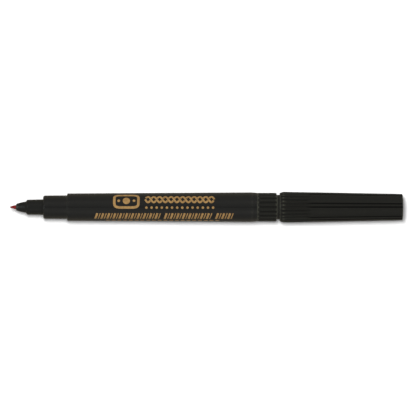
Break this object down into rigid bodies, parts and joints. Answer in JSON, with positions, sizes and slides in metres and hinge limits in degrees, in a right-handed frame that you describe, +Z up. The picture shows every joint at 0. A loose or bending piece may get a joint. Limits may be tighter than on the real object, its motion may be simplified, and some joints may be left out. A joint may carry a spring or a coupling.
{
  "type": "counterfeit detector pen",
  "caption": "Fibre-tip counterfeit detector pen, tapered barrel with its ribbed cap posted on the tail and able to slide off.",
  "frame": {"origin": "centre of the pen's length and width, on the plane that it lies on", "axes": "+X along the pen towards the cap's closed end, nib towards -X, +Z up with the printed side on top"},
  "size_m": [0.1572, 0.0122, 0.0123],
  "materials": {
    "black_plastic": "satin moulded",
    "liner_plastic": "smooth moulded",
    "nib_fibre": "pressed fibre, soaked with dark red ink",
    "reservoir_fibre": "bonded fibre",
    "reservoir_film": "clear film",
    "gold_print": "hot-stamped gold foil"
  },
  "bodies": {
    "pen": {"barrel": "black_plastic", "nib_holder": "black_plastic", "nib": "nib_fibre", "reservoir_core": "reservoir_fibre", "reservoir_wrap": "reservoir_film", "tail_plug": "black_plastic"},
    "cap": {"cap_shell": "black_plastic", "cap_liner": "liner_plastic"}
  },
  "joints": [
    {"name": "cap_slide", "type": "slide", "parent": "pen", "child": "cap", "axis": [1, 0, 0], "range_m": [0, 0.03]}
  ]
}
